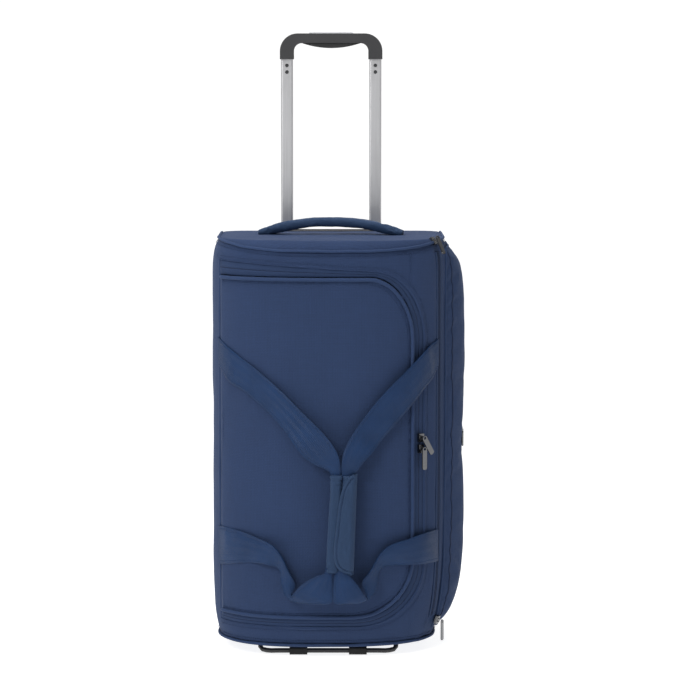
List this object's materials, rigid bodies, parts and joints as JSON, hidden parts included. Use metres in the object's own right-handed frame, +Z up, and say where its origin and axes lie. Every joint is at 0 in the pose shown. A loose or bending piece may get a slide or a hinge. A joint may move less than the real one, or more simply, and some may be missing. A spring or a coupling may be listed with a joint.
{
  "type": "rolling duffel bag",
  "caption": "Navy upright rolling duffel bag with an extended telescopic trolley handle, zipped lid, side pocket, webbing carry handles in a padded wrap, wheels and a foot bar.",
  "frame": {"origin": "on the floor under the centre of the whole bag's box", "axes": "+Z up, -Y out of the lid side, +X towards the side pocket; the trolley handle stands at +Y"},
  "size_m": [0.373, 0.3518, 0.9124],
  "materials": {
    "shell_fabric": "navy woven polyester, foam backed",
    "webbing": "blue ribbed webbing",
    "lining": "grey lining cloth",
    "zip_tape": "dark navy coil zip tape",
    "tube_metal": "satin anodised",
    "black_plastic": "fine texture",
    "grey_plastic": "fine texture",
    "steel": "dark polished",
    "rubber": "matte",
    "button_plastic": "satin"
  },
  "bodies": {
    "shell": {"body_wrap": "shell_fabric", "back_panel": "shell_fabric", "top_end_panel": "shell_fabric", "bottom_end_panel": "shell_fabric", "inner_divider": "lining", "base_plate": "black_plastic", "lid_zip_tape": "zip_tape", "side_pocket": "shell_fabric", "pocket_zip_tape": "zip_tape", "badge_plate": "steel", "top_piping": "shell_fabric", "bottom_piping": "shell_fabric", "top_handle": "shell_fabric", "trolley_bezel": "grey_plastic", "tube_base_bracket": "black_plastic", "outer_tube_left": "tube_metal", "outer_tube_right": "tube_metal", "wheel_housing_left": "black_plastic", "wheel_housing_right": "black_plastic", "wheel_axle_left": "steel", "wheel_axle_right": "steel", "skid_rail_left": "black_plastic", "skid_rail_right": "black_plastic", "foot_bar": "black_plastic", "foot_sleeve_left": "rubber", "foot_sleeve_right": "rubber", "pocket_slider_bottom": "steel", "pocket_slider_top": "steel"},
    "trolley": {"inner_tube_left": "tube_metal", "inner_tube_right": "tube_metal", "trolley_grip": "black_plastic", "grip_pad": "rubber", "lock_block_left": "black_plastic", "lock_block_right": "black_plastic", "lock_pin_left": "steel", "lock_pin_right": "steel", "tube_screw_left_1": "steel", "tube_screw_left_2": "steel", "tube_screw_right_1": "steel", "tube_screw_right_2": "steel"},
    "release_bar": {"release_button": "button_plastic", "release_rod_left": "steel", "release_rod_right": "steel"},
    "wheel_left": {"wheel_tyre_left": "rubber", "wheel_hub_left": "grey_plastic"},
    "wheel_right": {"wheel_tyre_right": "rubber", "wheel_hub_right": "grey_plastic"},
    "lid": {"lid_panel": "shell_fabric", "lid_piping": "shell_fabric", "left_strap": "webbing", "left_grip_sleeve": "shell_fabric"},
    "right_carry_strap": {"right_strap": "webbing", "handle_wrap": "shell_fabric"},
    "flap": {"wrap_flap": "shell_fabric"},
    "slider_upper": {"lid_slider_upper": "steel"},
    "slider_lower": {"lid_slider_lower": "steel"},
    "puller_upper": {"lid_puller_upper": "steel"},
    "puller_lower": {"lid_puller_lower": "steel"},
    "pocket_puller_1": {"pocket_puller_bottom": "steel"},
    "pocket_puller_2": {"pocket_puller_top": "steel"}
  },
  "joints": [
    {"name": "trolley_slide", "type": "slide", "parent": "shell", "child": "trolley", "axis": [0, 0, 1], "range_m": [-0.278, 0]},
    {"name": "button_press", "type": "slide", "parent": "trolley", "child": "release_bar", "axis": [0, 0, -1], "range_m": [0, 0.003], "stiffness_N_per_m": 900, "springref_m": -0.002},
    {"name": "wheel_spin_left", "type": "hinge", "parent": "shell", "child": "wheel_left", "pos_m": [-0.15033, 0.1409, 0.035], "axis": [1, 0, 0], "continuous": true},
    {"name": "wheel_spin_right", "type": "hinge", "parent": "shell", "child": "wheel_right", "pos_m": [0.12767, 0.1409, 0.035], "axis": [1, 0, 0], "continuous": true},
    {"name": "lid_hinge", "type": "hinge", "parent": "shell", "child": "lid", "pos_m": [-0.17333, -0.0721, 0.312], "axis": [0, 0, -1], "range_deg": [0, 62]},
    {"name": "carry_strap_swing", "type": "hinge", "parent": "shell", "child": "right_carry_strap", "pos_m": [0.14867, -0.0921, 0.305], "axis": [0, 0, 1], "range_deg": [0, 162]},
    {"name": "wrap_flap_hinge", "type": "hinge", "parent": "right_carry_strap", "child": "flap", "pos_m": [0.02227, -0.1747, 0.206], "axis": [0, 0, 1], "range_deg": [0, 150]},
    {"name": "upper_slider_slide", "type": "slide", "parent": "shell", "child": "slider_upper", "axis": [0, 0, 1], "range_m": [0, 0.05]},
    {"name": "lower_slider_slide", "type": "slide", "parent": "shell", "child": "slider_lower", "axis": [0, 0, 1], "range_m": [-0.06, 0]},
    {"name": "upper_puller_hinge", "type": "hinge", "parent": "slider_upper", "child": "puller_upper", "pos_m": [0.12431, -0.12077, 0.32199], "axis": [-0.8001, -0.5999, 0], "range_deg": [0, 100]},
    {"name": "lower_puller_hinge", "type": "hinge", "parent": "slider_lower", "child": "puller_lower", "pos_m": [0.12431, -0.12075, 0.30599], "axis": [-0.8001, -0.5999, 0], "range_deg": [0, 100]},
    {"name": "pocket_puller_hinge_bottom", "type": "hinge", "parent": "shell", "child": "pocket_puller_1", "pos_m": [0.15285, -0.06383, 0.04234], "axis": [-0.3954, -0.9185, 0], "range_deg": [0, 100]},
    {"name": "pocket_puller_hinge_top", "type": "hinge", "parent": "shell", "child": "pocket_puller_2", "pos_m": [0.14376, -0.08112, 0.6106], "axis": [-0.5478, -0.8366, 0], "range_deg": [0, 90]}
  ],
  "couplings": [
    {"joint": "carry_strap_swing", "follows": "lid_hinge", "ratio": 2.6}
  ]
}
